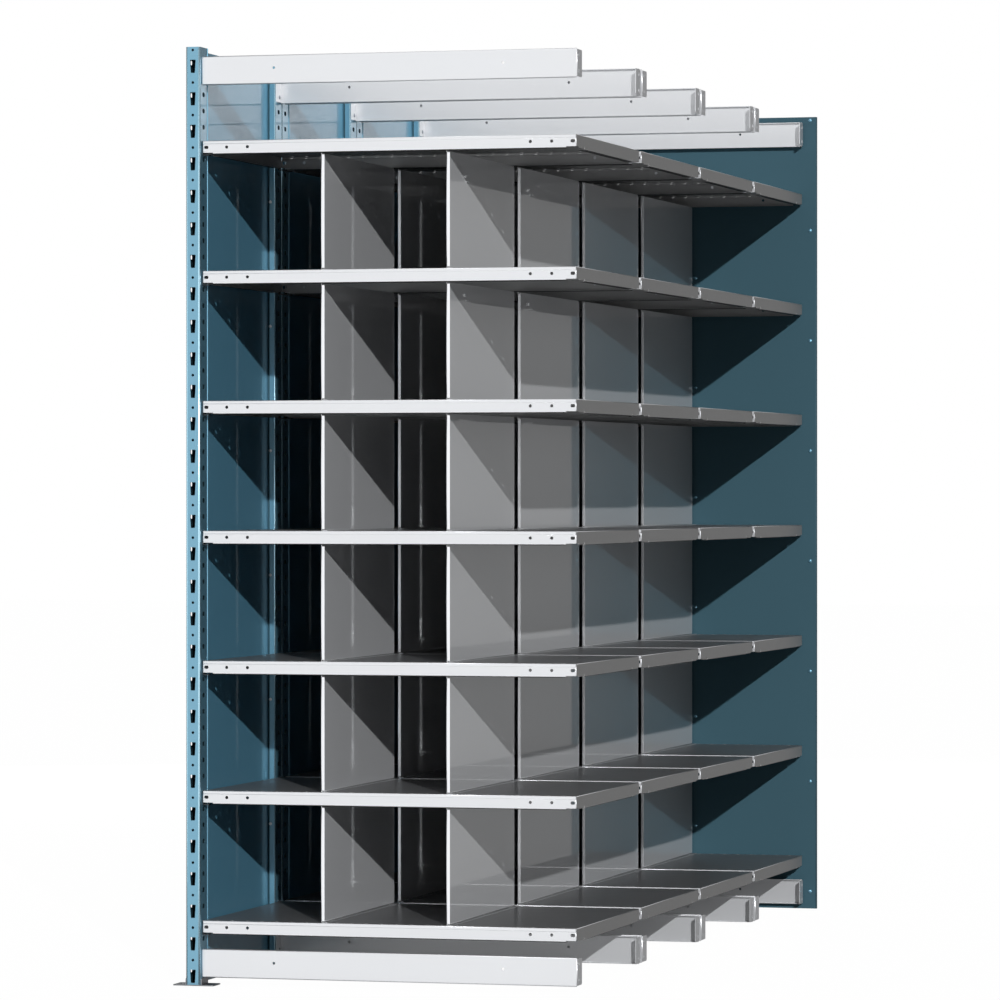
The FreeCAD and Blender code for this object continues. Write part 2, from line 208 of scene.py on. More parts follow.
def rounded(corners, radius):
    """Outline with each corner rounded by an arc of one radius."""
    outline = []
    count = len(corners)
    for index, corner in enumerate(corners):
        point = Vector(corner)
        back = (Vector(corners[index - 1]) - point).normalized()
        ahead = (Vector(corners[(index + 1) % count]) - point).normalized()
        half = back.angle(ahead) / 2
        middle = point + (back + ahead).normalized() * radius / math.sin(half)
        start = point + back * radius / math.tan(half) - middle
        swing = start.angle_signed(point + ahead * radius / math.tan(half) - middle)
        for step in range(CORNER_FACETS + 1):
            spoke = Matrix.Rotation(-swing * step / CORNER_FACETS, 2) @ start
            outline.append(tuple(middle + spoke))
    return outline


def oblong(u, v, width, height, radius):
    """Outline of a rounded rectangle about a middle."""
    left, right = u - width / 2, u + width / 2
    low, high = v - height / 2, v + height / 2
    return rounded([(left, low), (right, low), (right, high), (left, high)], radius)


def walk(distance, steps):
    """Outward and downward place, and heading, of a point this far past a side's first bend line."""
    heading = outward = downward = 0.0
    for radius, turn, run in steps:
        arc = radius * abs(turn)
        part = min(distance, arc)
        swing = turn * part / arc
        lean = math.copysign(radius, turn)
        outward += lean * (math.sin(heading + swing) - math.sin(heading))
        downward += lean * (math.cos(heading) - math.cos(heading + swing))
        heading += swing
        distance -= part
        part = min(distance, run)
        outward += part * math.cos(heading)
        downward += part * math.sin(heading)
        distance -= part
    return outward, downward, heading


def bend_reach(steps, whole_steps):
    """Flat length taken by a side's first bends, runs included."""
    return sum(radius * abs(turn) + run for radius, turn, run in steps[:whole_steps])


class Blank:
    """A flat sheet blank: outline, punched holes, and bends past lines along u and along v."""

    def __init__(self, outline):
        self.outline = outline
        self.holes = []
        self.bends = {0: [], 1: []}

    def punch(self, corners):
        """Cut a hole with these corners."""
        self.holes.append(corners)

    def punch_round(self, u, v, diameter):
        """Cut a round hole about a middle."""
        turn = 2 * math.pi / HOLE_SIDES
        radius = diameter / 2
        spokes = [(math.cos(turn * k), math.sin(turn * k)) for k in range(HOLE_SIDES)]
        self.punch([(u + radius * across, v + radius * up) for across, up in spokes])

    def bend(self, axis, way, line, steps):
        """Bend what lies past a line: axis 0 for u or 1 for v, and steps of radius, turn and run."""
        self.bends[axis].append((way, line, steps))

    def creases(self, axis):
        """Pairs of coordinates between which each arc of the bends runs, arc by arc."""
        arcs = []
        for way, line, steps in self.bends[axis]:
            distance = 0.0
            for radius, turn, run in steps:
                arc = radius * abs(turn)
                arcs.append((line + way * distance, line + way * (distance + arc)))
                distance += arc + run
        return arcs

    def along(self, axis, coordinate):
        """Place along one axis, drop below the sheet, and the way that is inward there."""
        for way, line, steps in self.bends[axis]:
            beyond = way * (coordinate - line)
            if beyond > 0:
                outward, downward, heading = walk(beyond, steps)
                return line + way * outward, downward, (-way * math.sin(heading), math.cos(heading))
        return coordinate, 0.0, (0.0, 1.0)

    def spot(self, u, v):
        """Folded place of a flat point: bends along u dip inward from the sheet as v has bent it."""
        x, dip, _ = self.along(0, u)
        y, drop, inward = self.along(1, v)
        return x, y + dip * inward[0], -drop - dip * inward[1]

    def fold(self, name, sheet, *paints):
        """Mesh of the folded blank, thickened from its outer skin inward, with its outer and inner paint."""
        loops = [self.outline] + self.holes
        points = [point for loop in loops for point in loop]
        faces = []
        for loop in loops:
            start = sum(len(face) for face in faces)
            faces.append(list(range(start, start + len(loop))))
        lows = [min(point[axis] for point in self.outline) for axis in (0, 1)]
        highs = [max(point[axis] for point in self.outline) for axis in (0, 1)]
        edges = []
        for axis in (0, 1):
            for first, last in self.creases(axis):
                for step in range(BEND_FACETS + 1):
                    place = first + (last - first) * step / BEND_FACETS
                    ends = [(place, lows[1]), (place, highs[1])]
                    if axis == 1:
                        ends = [(lows[0], place), (highs[0], place)]
                    edges.append((len(points), len(points) + 1))
                    points += ends
        flat, _, cells, _, _, sources = delaunay_2d_cdt(
            [Vector(point) for point in points], edges, faces, VALID_FACES, JOIN)
        kept = [cell for cell, source in zip(cells, sources) if set(source) == {0}]
        used = sorted({corner for cell in kept for corner in cell})
        renumber = {corner: index for index, corner in enumerate(used)}
        mesh = bpy.data.meshes.new(name + "_skin")
        mesh.from_pydata([self.spot(*flat[corner]) for corner in used], [],
                         [[renumber[corner] for corner in cell] for cell in kept])
        arcs = {axis: [sorted(pair) for pair in self.creases(axis)] for axis in (0, 1)}
        for polygon, cell in zip(mesh.polygons, kept):
            middle = [sum(flat[corner][axis] for corner in cell) / len(cell) for axis in (0, 1)]
            polygon.use_smooth = any(
                low < middle[axis] < high for axis in (0, 1) for low, high in arcs[axis])
        for paint in paints:
            mesh.materials.append(paint)
        return thicken(name, mesh, sheet)


def thicken(name, skin, sheet):
    """Closed sheet of one thickness behind a skin."""
    holder = bpy.data.objects.new(name + "_holder", skin)
    bpy.context.scene.collection.objects.link(holder)
    solidify = holder.modifiers.new("sheet", "SOLIDIFY")
    solidify.thickness = sheet
    solidify.offset = -1
    solidify.use_even_offset = True
    solidify.material_offset = 1
    solidify.material_offset_rim = 1
    mesh = bpy.data.meshes.new_from_object(holder.evaluated_get(bpy.context.evaluated_depsgraph_get()))
    mesh.name = name
    bpy.data.objects.remove(holder)
    bpy.data.meshes.remove(skin)
    return mesh


def repaint(mesh, paint, chosen):
    """Another paint on the faces that are chosen by their normal and middle."""
    mesh.materials.append(paint)
    for polygon in mesh.polygons:
        if chosen(polygon.normal, polygon.center):
            polygon.material_index = len(mesh.materials) - 1


def gather(name, parts, *paints):
    """One mesh from pairs of mesh and place, in these paints or in those of its first part."""
    whole = bmesh.new()
    for mesh, place in parts:
        start = len(whole.verts)
        whole.from_mesh(mesh)
        whole.verts.ensure_lookup_table()
        bmesh.ops.transform(whole, matrix=place, verts=whole.verts[start:])
    mesh = bpy.data.meshes.new(name)
    whole.to_mesh(mesh)
    whole.free()
    for paint in paints or parts[0][0].materials:
        mesh.materials.append(paint)
    return mesh


def dress(name, mesh, place, slot, *nodes):
    """Set a painted piece in the frame in place of its nodes."""
    piece = bpy.data.objects.new(name, mesh)
    bpy.context.scene.collection.objects.link(piece)
    piece.matrix_world = place
    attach(piece, "root")
    if nodes:
        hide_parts(*nodes)


# Finishes: scale and detail of each noise, limits of the masks, and amounts
TONE_NOISE = (2.6, 3.0)
GLOSS_NOISE = (38.0, 2.0)
GLOSS_DRIFT = 0.2
WAVE_NOISE = (4.0, 1.0)
PEEL_NOISE = (420.0, 1.0)
LIES_FLAT = (0.6, 0.95)
STREAK_STRETCH = (90.0, 5.0, 5.0)
STREAK_DETAIL = 4.0
STREAK_LIMITS = (0.35, 0.75)
RUBBED_ROUGHNESS = 0.2
PAINT_PEEL = 1e-6
BOUNCE_LOSS = 0.45
BLACK = (0, 0, 0, 1)
WHITE = (1, 1, 1, 1)
CRYSTAL_SCALE = 160.0
ZINC_DRIFT = 0.4
ZINC_PEEL = 2e-6


# Shader helpers
def feed(tree, socket, value):
    """Link an input to another node's socket, or set it to a plain value."""
    if isinstance(value, bpy.types.NodeSocket):
        tree.links.new(value, socket)
    else:
        socket.default_value = value


def add(tree, kind, settings=None, **inputs):
    """New shader node with its settings, and with values or sockets on its named inputs."""
    node = tree.nodes.new(kind)
    for key, value in (settings or {}).items():
        setattr(node, key, value)
    for key, value in inputs.items():
        feed(tree, node.inputs[key.replace("_", " ")], value)
    return node


def blend(tree, kind, factor, first, second):
    """Value (FLOAT) or colour (RGBA) between two others."""
    node = add(tree, "ShaderNodeMix", {"data_type": kind}, Factor=factor, A=first, B=second)
    return node.outputs["Result"]


def calculate(tree, operation, *values):
    """Result of one step of arithmetic on values or sockets."""
    node = add(tree, "ShaderNodeMath", {"operation": operation})
    for socket, value in zip(node.inputs, values):
        feed(tree, socket, value)
    return node.outputs[0]


def new_group(name, inputs, outputs):
    """Empty shader group with named colour and value sockets."""
    kinds = {"colour": "NodeSocketColor", "value": "NodeSocketFloat"}
    group = bpy.data.node_groups.new(name, "ShaderNodeTree")
    for label, kind in inputs:
        group.interface.new_socket(label, in_out="INPUT", socket_type=kinds[kind])
    for label, kind in outputs:
        group.interface.new_socket(label, in_out="OUTPUT", socket_type=kinds[kind])
    return group, group.nodes.new("NodeGroupInput"), group.nodes.new("NodeGroupOutput")


def noise_at(tree, scale, detail):
    """Noise that is fixed to the frame."""
    place = add(tree, "ShaderNodeNewGeometry").outputs["Position"]
    noise = add(tree, "ShaderNodeTexNoise", Vector=place, Scale=scale, Detail=detail)
    return noise.outputs["Fac"]


def between(tree, value, limits, first=0.0, last=1.0):
    """Value that runs from first to last while another one passes between two limits."""
    ramp = add(tree, "ShaderNodeMapRange", Value=value, From_Min=limits[0], From_Max=limits[1],
               To_Min=first, To_Max=last)
    return ramp.outputs["Result"]


def make_sprayed_coat():
    """Tone and gloss of a sprayed coat, which drift a little from place to place."""
    group, given, result = new_group(
        "sprayed_coat",
        [("Colour", "colour"), ("Shade", "colour"), ("Drift", "value"), ("Roughness", "value")],
        [("Colour", "colour"), ("Roughness", "value")])
    slow = noise_at(group, *TONE_NOISE)
    quick = noise_at(group, *GLOSS_NOISE)
    drift = calculate(group, "MULTIPLY", slow, given.outputs["Drift"])
    tone = blend(group, "RGBA", drift, given.outputs["Colour"], given.outputs["Shade"])
    spread = calculate(group, "MULTIPLY_ADD", quick, GLOSS_DRIFT, 1 - GLOSS_DRIFT / 2)
    rough = calculate(group, "MULTIPLY", given.outputs["Roughness"], spread)
    group.links.new(tone, result.inputs["Colour"])
    group.links.new(rough, result.inputs["Roughness"])
    return group


def make_sheet_relief():
    """Height of the slow waves of thin folded sheet and of the fine peel of its paint, in metres."""
    group, given, result = new_group("sheet_relief", [("Waves", "value"), ("Peel", "value")],
                                     [("Height", "value")])
    waves = calculate(group, "MULTIPLY", noise_at(group, *WAVE_NOISE), given.outputs["Waves"])
    peel = calculate(group, "MULTIPLY", noise_at(group, *PEEL_NOISE), given.outputs["Peel"])
    group.links.new(calculate(group, "ADD", waves, peel), result.inputs["Height"])
    return group


def make_handling_marks():
    """Mask of the faint rubbing that goods leave on faces that look up."""
    group, given, result = new_group("handling_marks", [("Amount", "value")], [("Mask", "value")])
    geometry = add(group, "ShaderNodeNewGeometry")
    upward = add(group, "ShaderNodeSeparateXYZ", Vector=geometry.outputs["Normal"]).outputs["Z"]
    lies_flat = between(group, upward, LIES_FLAT)
    stretch = add(group, "ShaderNodeMapping", Vector=geometry.outputs["Position"], Scale=STREAK_STRETCH)
    streaks = add(group, "ShaderNodeTexNoise", Vector=stretch.outputs["Vector"], Scale=1.0,
                  Detail=STREAK_DETAIL)
    rubbed = between(group, streaks.outputs["Fac"], STREAK_LIMITS)
    mask = calculate(group, "MULTIPLY", lies_flat, rubbed)
    group.links.new(calculate(group, "MULTIPLY", mask, given.outputs["Amount"]), result.inputs["Mask"])
    return group


SPRAYED_COAT = make_sprayed_coat()
SHEET_RELIEF = make_sheet_relief()
HANDLING_MARKS = make_handling_marks()


def place_group(tree, group, **inputs):
    """Outputs of a shared group, placed in a material with its own values."""
    return add(tree, "ShaderNodeGroup", {"node_tree": group}, **inputs).outputs


def new_finish(name):
    """Material with its node tree and its shader."""
    material = bpy.data.materials.new(name)
    material.use_nodes = True
    return material, material.node_tree, material.node_tree.nodes["Principled BSDF"]


def raise_relief(tree, shader, relief):
    """Bump of a height in metres."""
    bump = add(tree, "ShaderNodeBump", Strength=1.0, Distance=1.0, Height=relief)
    tree.links.new(bump.outputs["Normal"], shader.inputs["Normal"])


def enamel(name, colour, shade, metallic, roughness, specular, edge, coat=0.0, coat_roughness=0.15,
           waves=0.0, peel=PAINT_PEEL, marks=0.0):
    """Gloss enamel on sheet steel: a faintly metallic base under a clear coat, rubbed on top faces."""
    material, tree, shader = new_finish(name)
    sprayed = place_group(tree, SPRAYED_COAT, Colour=(*colour, 1), Shade=(*shade, 1), Drift=1.0,
                          Roughness=roughness)
    rubbed = place_group(tree, HANDLING_MARKS, Amount=marks)["Mask"]
    relief = place_group(tree, SHEET_RELIEF, Waves=waves, Peel=peel)["Height"]
    ray = add(tree, "ShaderNodeLightPath").outputs
    bounced = calculate(tree, "MULTIPLY", ray["Is Diffuse Ray"], BOUNCE_LOSS)
    dulled = calculate(tree, "MULTIPLY", rubbed, RUBBED_ROUGHNESS)
    feed(tree, shader.inputs["Base Color"], blend(tree, "RGBA", bounced, sprayed["Colour"], BLACK))
    feed(tree, shader.inputs["Roughness"], calculate(tree, "ADD", sprayed["Roughness"], dulled))
    feed(tree, shader.inputs["Coat Weight"], calculate(tree, "SUBTRACT", coat, rubbed))
    raise_relief(tree, shader, relief)
    shader.inputs["Metallic"].default_value = metallic
    shader.inputs["Specular IOR Level"].default_value = specular
    shader.inputs["Specular Tint"].default_value = (edge, edge, edge, 1)
    shader.inputs["Coat Roughness"].default_value = coat_roughness
    return material


def zinc(name, colour, shade, roughness):
    """Zinc-plated steel with a faint crystal pattern."""
    material, tree, shader = new_finish(name)
    place = add(tree, "ShaderNodeNewGeometry").outputs["Position"]
    crystals = add(tree, "ShaderNodeTexVoronoi", Vector=place, Scale=CRYSTAL_SCALE)
    tone = add(tree, "ShaderNodeSeparateColor", Color=crystals.outputs["Color"]).outputs["Red"]
    plated = blend(tree, "RGBA", tone, (*colour, 1), (*shade, 1))
    sprayed = place_group(tree, SPRAYED_COAT, Colour=plated, Shade=(*shade, 1), Drift=ZINC_DRIFT,
                          Roughness=roughness)
    relief = place_group(tree, SHEET_RELIEF, Waves=0.0, Peel=ZINC_PEEL)["Height"]
    feed(tree, shader.inputs["Base Color"], sprayed["Colour"])
    feed(tree, shader.inputs["Roughness"], sprayed["Roughness"])
    raise_relief(tree, shader, relief)
    shader.inputs["Metallic"].default_value = 1.0
    return material


# Paints and platings, each with the shade that it drifts to
BLUE = (0.19, 0.43, 0.58)
BLUE_SHADE = (0.178, 0.405, 0.55)
# Painted shade: dark blue for the inner skin and cut edges of the posts, inside the channel
INNER_SHADE_BLUE = (0.03, 0.068, 0.09)
INNER_SHADE_BLUE_SHADE = (0.027, 0.061, 0.082)
# Painted shade: dark blue for the side-panel edge flanges that sit in the post channels
SLOT_SHADE_BLUE = (0.05, 0.115, 0.15)
SLOT_SHADE_BLUE_SHADE = (0.046, 0.106, 0.138)
# Painted highlight: a lighter blue for the outward bends of the posts
BEND_HIGHLIGHT_BLUE = (0.5, 0.78, 0.92)
BEND_HIGHLIGHT_BLUE_SHADE = (0.47, 0.74, 0.88)
SIDE_BLUE = (0.145, 0.385, 0.55)
SIDE_BLUE_SHADE = (0.136, 0.362, 0.52)
# Painted shade: darker blue for the front face of the back panel, inside the bins
BACK_SHADE_BLUE = (0.065, 0.146, 0.19)
BACK_SHADE_BLUE_SHADE = (0.061, 0.137, 0.178)
PALE = (0.86, 0.875, 0.90)
PALE_SHADE = (0.825, 0.84, 0.865)
# Painted shade: dark grey for the tops of the bin shelves and of the divider feet
TOP_SHADE_PALE = (0.28, 0.285, 0.295)
TOP_SHADE_PALE_SHADE = (0.265, 0.27, 0.28)
# Painted shade: darker grey for the end faces of the shelves
END_SHADE_PALE = (0.4, 0.4, 0.4)
END_SHADE_PALE_SHADE = (0.38, 0.38, 0.38)
# Painted shade: darker pale for the inner skin and cut edges of the shelves, undersides included
UNDER_SHADE_PALE = (0.58, 0.585, 0.59)
UNDER_SHADE_PALE_SHADE = (0.555, 0.56, 0.565)
# Painted shadow: near-black for the down-facing returns and bends under the shelf flanges
RETURN_SHADOW = (0.05, 0.05, 0.052)
RETURN_SHADOW_SHADE = (0.045, 0.045, 0.047)
ZINC = (0.36, 0.37, 0.39)
ZINC_SHADE = (0.28, 0.29, 0.31)
# Painted shade: near-black zinc for the shelf clips, which sit in shade under the shelf ends
CLIP_SHADE_ZINC = (0.07, 0.075, 0.08)
CLIP_SHADE_ZINC_SHADE = (0.05, 0.055, 0.06)
BRIGHT_ZINC = (0.42, 0.46, 0.50)
BRIGHT_ZINC_SHADE = (0.34, 0.37, 0.41)

post_blue = enamel("post_blue", BLUE, BLUE_SHADE, metallic=0.5, roughness=0.35, specular=0.4, edge=0.7,
                   coat=0.8, coat_roughness=0.05)
# Dark blue for the posts' inner skin and cut edges: painted shade
post_inner_shade = enamel("post_inner_shade", INNER_SHADE_BLUE, INNER_SHADE_BLUE_SHADE, metallic=0.2, roughness=0.5, specular=0.3,
                    edge=0.7, coat_roughness=0.3)
# Dark blue for the side-panel flanges in the post channels: painted shade
slot_shade_blue = enamel("slot_shade_blue", SLOT_SHADE_BLUE, SLOT_SHADE_BLUE_SHADE, metallic=0.2, roughness=0.5, specular=0.3,
                   edge=0.7, coat_roughness=0.3)
# Lighter, more metallic blue on the post bends: a painted highlight
post_bend = enamel("post_bend", BEND_HIGHLIGHT_BLUE, BEND_HIGHLIGHT_BLUE_SHADE, metallic=0.85, roughness=0.25, specular=0.4,
                   edge=0.7, coat=0.6, coat_roughness=0.13)
panel_blue = enamel("panel_blue", SIDE_BLUE, SIDE_BLUE_SHADE, metallic=0.1, roughness=0.32, specular=0.3,
                    edge=1.0, coat=0.48, coat_roughness=0.015, waves=1e-4, peel=0.0)
# Darker blue for the back panel's front face: painted shade
back_shade_blue = enamel("back_shade_blue", BACK_SHADE_BLUE, BACK_SHADE_BLUE_SHADE, metallic=0.0, roughness=0.5, specular=0.12,
                   edge=1.0, coat_roughness=0.25, waves=2e-4)
shelf_pale = enamel("shelf_pale", PALE, PALE_SHADE, metallic=0.45, roughness=0.32, specular=0.1,
                    edge=0.4, coat=0.1, waves=5e-5, marks=0.1)
# Dark grey for the bin shelf tops and divider feet: painted shade
shelf_top = enamel("shelf_top", TOP_SHADE_PALE, TOP_SHADE_PALE_SHADE, metallic=0.45, roughness=0.32, specular=0.1,
                   edge=0.4, coat=0.1, waves=5e-5, marks=0.1)
# Darker grey for the shelf ends: painted shade
shelf_end_shade = enamel("shelf_end_shade", END_SHADE_PALE, END_SHADE_PALE_SHADE, metallic=0.3, roughness=0.35, specular=0.1,
                   edge=0.4, coat=0.1, waves=5e-5)
# Darker pale for the shelves' inner skin and undersides: painted shade
shelf_under_shade = enamel("shelf_under_shade", UNDER_SHADE_PALE, UNDER_SHADE_PALE_SHADE, metallic=0.2, roughness=0.45,
                     specular=0.1, edge=0.4)
# Near-black for the shelf returns' undersides: painted shadow
shelf_return = enamel("shelf_return", RETURN_SHADOW, RETURN_SHADOW_SHADE, metallic=0.0, roughness=0.5,
                      specular=0.1, edge=0.3)
divider_pale = enamel("divider_pale", PALE, PALE_SHADE, metallic=0.15, roughness=0.35, specular=0.4,
                      edge=0.8, coat=0.9, coat_roughness=0.03, waves=1e-4, peel=3e-7)
# Painted highlight: a far more metallic copy of the pale divider paint, so front faces catch a bright
# reflection
divider_edge_highlight = enamel("divider_edge_highlight", PALE, PALE_SHADE, metallic=0.85, roughness=0.32, specular=0.3,
                      edge=0.6, coat=0.4, coat_roughness=0.1)
beam_pale = enamel("beam_pale", PALE, PALE_SHADE, metallic=0.45, roughness=0.32, specular=0.3,
                   edge=0.6, coat=0.4, coat_roughness=0.1)
plate_zinc = zinc("plate_zinc", ZINC, ZINC_SHADE, roughness=0.38)
# Near-black zinc for the shelf clips: painted shade
clip_shade_zinc = zinc("clip_shade_zinc", CLIP_SHADE_ZINC, CLIP_SHADE_ZINC_SHADE, roughness=0.5)
bolt_zinc = zinc("bolt_zinc", BRIGHT_ZINC, BRIGHT_ZINC_SHADE, roughness=0.3)


# Posts
def make_post(width, depth, height, left_hole, right_hole):
    """Channel with its face at the front: walls folded back to a raised rim, lips folded in behind."""
    lip = (width - POST_OPENING) / 2 + RIM_STEP - LIP_BEND
    slope = (RIM_STEP - 2 * RIM_BEND * (1 - math.cos(RIM_TURN))) / math.sin(RIM_TURN)
    rim_depth = 2 * RIM_BEND * math.sin(RIM_TURN) + slope * math.cos(RIM_TURN)
    wall_run = depth - RIM_WIDTH - rim_depth - POST_BEND
    steps = [(POST_BEND, QUARTER, wall_run), (RIM_BEND, -RIM_TURN, slope),
             (RIM_BEND, RIM_TURN, RIM_WIDTH - LIP_BEND), (LIP_BEND, QUARTER, lip)]
    flat = width / 2 - POST_BEND
    reach = flat + bend_reach(steps, len(steps))
    blank = Blank([(-reach, 0), (reach, 0), (reach, height), (-reach, height)])
    blank.bend(0, 1, flat, steps)
    blank.bend(0, -1, -flat, steps)
    low = KEYHOLE_FIRST
    while low + KEYHOLE_HEIGHT < height:
        high = low + KEYHOLE_HEIGHT
        blank.punch(rounded([(-KEYHOLE_BOTTOM / 2, low), (KEYHOLE_BOTTOM / 2, low), (KEYHOLE_TOP / 2, high),
                             (-KEYHOLE_TOP / 2, high)], KEYHOLE_CORNER))
        hole_up = low + (KEYHOLE_HEIGHT + KEYHOLE_PITCH) / 2
        if hole_up + FACE_HOLE < height:
            blank.punch_round(0, hole_up, FACE_HOLE)
        low += KEYHOLE_PITCH
    wall = flat + POST_BEND * (QUARTER - 1)
    up = WALL_HOLE_FIRST
    while up + WALL_HOLE[1] < height:
        blank.punch(oblong(wall + right_hole, up, *WALL_HOLE, WALL_HOLE[1] * SLOT_ROUNDING))
        blank.punch(oblong(-wall - left_hole, up, *WALL_HOLE, WALL_HOLE[1] * SLOT_ROUNDING))
        up += WALL_HOLE_PITCH
    # The posts' inner skin and cut edges take the dark inner blue, painted shade
    mesh = blank.fold("post", POST_SHEET, post_blue, post_inner_shade)
    mesh.transform(FACING_FRONT)

    # Outward front bends and lip bends take the lighter, more metallic bend blue: a painted highlight
    def gets_bend_highlight(normal, middle):
        slant = abs(normal.x)
        outward = normal.x * middle.x > 0
        face_bend = LEANING < slant < NEARLY_SQUARE and normal.y < 0 and middle.y < POST_BEND
        lip_bend = LEANING < slant < SQUARE and normal.y > 0 and middle.y > depth - LIP_BEND
        return outward and (face_bend or lip_bend)

    repaint(mesh, post_bend, gets_bend_highlight)
    return mesh


post_low, post_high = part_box("post_front_1")
post_size = post_high - post_low
post_middle = (post_low.x + post_high.x) / 2
front_post = make_post(*post_size, FAR_WALL_HOLE, NEAR_WALL_HOLE)
rear_post = make_post(*post_size, NEAR_WALL_HOLE, FAR_WALL_HOLE)
for section in range(1, SECTIONS + 1):
    front_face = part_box("post_front_%d" % section)[0].y
    rear_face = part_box("post_rear_%d" % section)[1].y
    dress("front_post_%d" % section, front_post, at(post_middle, front_face, post_low.z),
          "blue_paint", "post_front_%d" % section)
    dress("rear_post_%d" % section, rear_post, at(post_middle, rear_face, post_low.z) @ TURNED,
          "blue_paint", "post_rear_%d" % section)


# Shelves
def mirrored_outline(quadrant):
    """Closed outline, anticlockwise, from the points of its first quadrant."""
    left = [(-u, v) for u, v in reversed(quadrant)]
    below = [(-u, -v) for u, v in quadrant]
    right = [(u, -v) for u, v in reversed(quadrant)]
    return quadrant + left + below + right


def make_shelf(length, depth, height, top_paint):
    """Tray with its top at zero: four flanges, returns cut back from the corners, wrapped corners."""
    fold_in = (SHELF_RETURN_BEND, QUARTER, SHELF_RETURN - SHELF_RETURN_BEND)
    end_steps = [(SHELF_BEND, QUARTER, height - SHELF_BEND - SHELF_RETURN_BEND), fold_in]
    lip_steps = [(SHELF_BEND, QUARTER - LIP_TILT, LIP_HEIGHT),
                 (CREASE_BEND, LIP_TILT + CREASE_TURN, CREASE_RUN)]
    lip_out = walk(bend_reach(lip_steps, 1), lip_steps)[0]
    crease_out = (CREASE_BEND, -CREASE_TURN, 0.0)
    lip_drop = walk(bend_reach(lip_steps + [crease_out], 3), lip_steps + [crease_out])[1]
    flange_run = (CREASE_BEND, -CREASE_TURN, height - lip_drop - SHELF_RETURN_BEND)
    front_steps = lip_steps + [flange_run, fold_in]
    flat_u = length / 2 - SHELF_BEND
    flat_v = depth / 2 - lip_out
    end_arc = flat_u + SHELF_BEND * QUARTER
    lip_end = flat_v + bend_reach(lip_steps + [crease_out], 3)
    end_flange = flat_u + bend_reach(end_steps, 1)
    end_return = flat_u + bend_reach(end_steps, 2)
    front_flange = flat_v + bend_reach(front_steps, 3)
    front_return = flat_v + bend_reach(front_steps, 4)
    tab = end_arc + CORNER_TAB - SHELF_BEND
    corner_strip = end_arc + lip_drop - SHELF_BEND - CORNER_SEAM / 2
    seam = depth / 2 - CORNER_TAB - CORNER_SEAM
    cut_v = depth / 2 - END_CUTBACK
    cut_u = length / 2 - FRONT_CUTBACK
    notch_top = end_flange - NOTCH_HEIGHT
    tab_side = front_flange - TAB_TRIM
    blank = Blank(mirrored_outline([
        (end_return, cut_v), (notch_top, cut_v), (notch_top, cut_v + NOTCH_WIDTH),
        (end_flange, cut_v + NOTCH_WIDTH), (end_flange, seam), (corner_strip, seam),
        (corner_strip, flat_v), (flat_u, flat_v), (flat_u, lip_end), (tab, lip_end), (tab, tab_side),
        (cut_u, tab_side), (cut_u, front_return)]))
    for way in (1, -1):
        blank.bend(0, way, way * flat_u, end_steps)
        blank.bend(1, way, way * flat_v, front_steps)
        hole_v = way * (lip_end + FLANGE_HOLE_DROP - lip_drop)
        for end in (1, -1):
            slot_u = end * (length / 2 - FLANGE_SLOT_IN)
            blank.punch(oblong(slot_u, hole_v, *FLANGE_SLOT, FLANGE_SLOT[1] * SLOT_ROUNDING))
            for inset in FLANGE_HOLES_IN:
                blank.punch_round(end * (length / 2 - inset), hole_v, FLANGE_HOLE)
        for index in range(TOP_HOLE_COUNT):
            hole_u = (index - (TOP_HOLE_COUNT - 1) / 2) * TOP_HOLE_PITCH
            blank.punch_round(hole_u, way * (depth / 2 - TOP_HOLE_IN), TOP_HOLE)
    # The inner skin and cut edges take the darker under paint, painted shade
    mesh = blank.fold("shelf", SHELF_SHEET, shelf_pale, shelf_under_shade)
    # Down-facing faces low on the flanges take the near-black return paint, painted shadow
    repaint(mesh, shelf_return, lambda normal, middle: normal.z < -LEANING and middle.z < -height / 2)
    repaint(mesh, top_paint, lambda normal, middle: normal.z > SQUARE and middle.z > -SHELF_SHEET / 2)
    # The end faces take the darker end grey, painted shade
    repaint(mesh, shelf_end_shade, lambda normal, middle: normal.x * middle.x > SQUARE * abs(middle.x))
    return mesh


shelf_low, shelf_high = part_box("shelf_row1_level1")
# The bin shelves take the dark top grey, painted shade; the highest shelf keeps the plain pale top
bin_shelf = make_shelf(*(shelf_high - shelf_low), shelf_top)
highest_shelf = make_shelf(*(shelf_high - shelf_low), shelf_pale)
for section in range(1, SECTIONS + 1):
    for level in range(1, LEVELS + 1):
        spot = "row%d_level%d" % (section, level)
        low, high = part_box("shelf_" + spot)
        shelf = highest_shelf if level == LEVELS else bin_shelf
        dress("tray_" + spot, shelf, at((low.x + high.x) / 2, (low.y + high.y) / 2, high.z),
              "pale_paint", "shelf_" + spot)


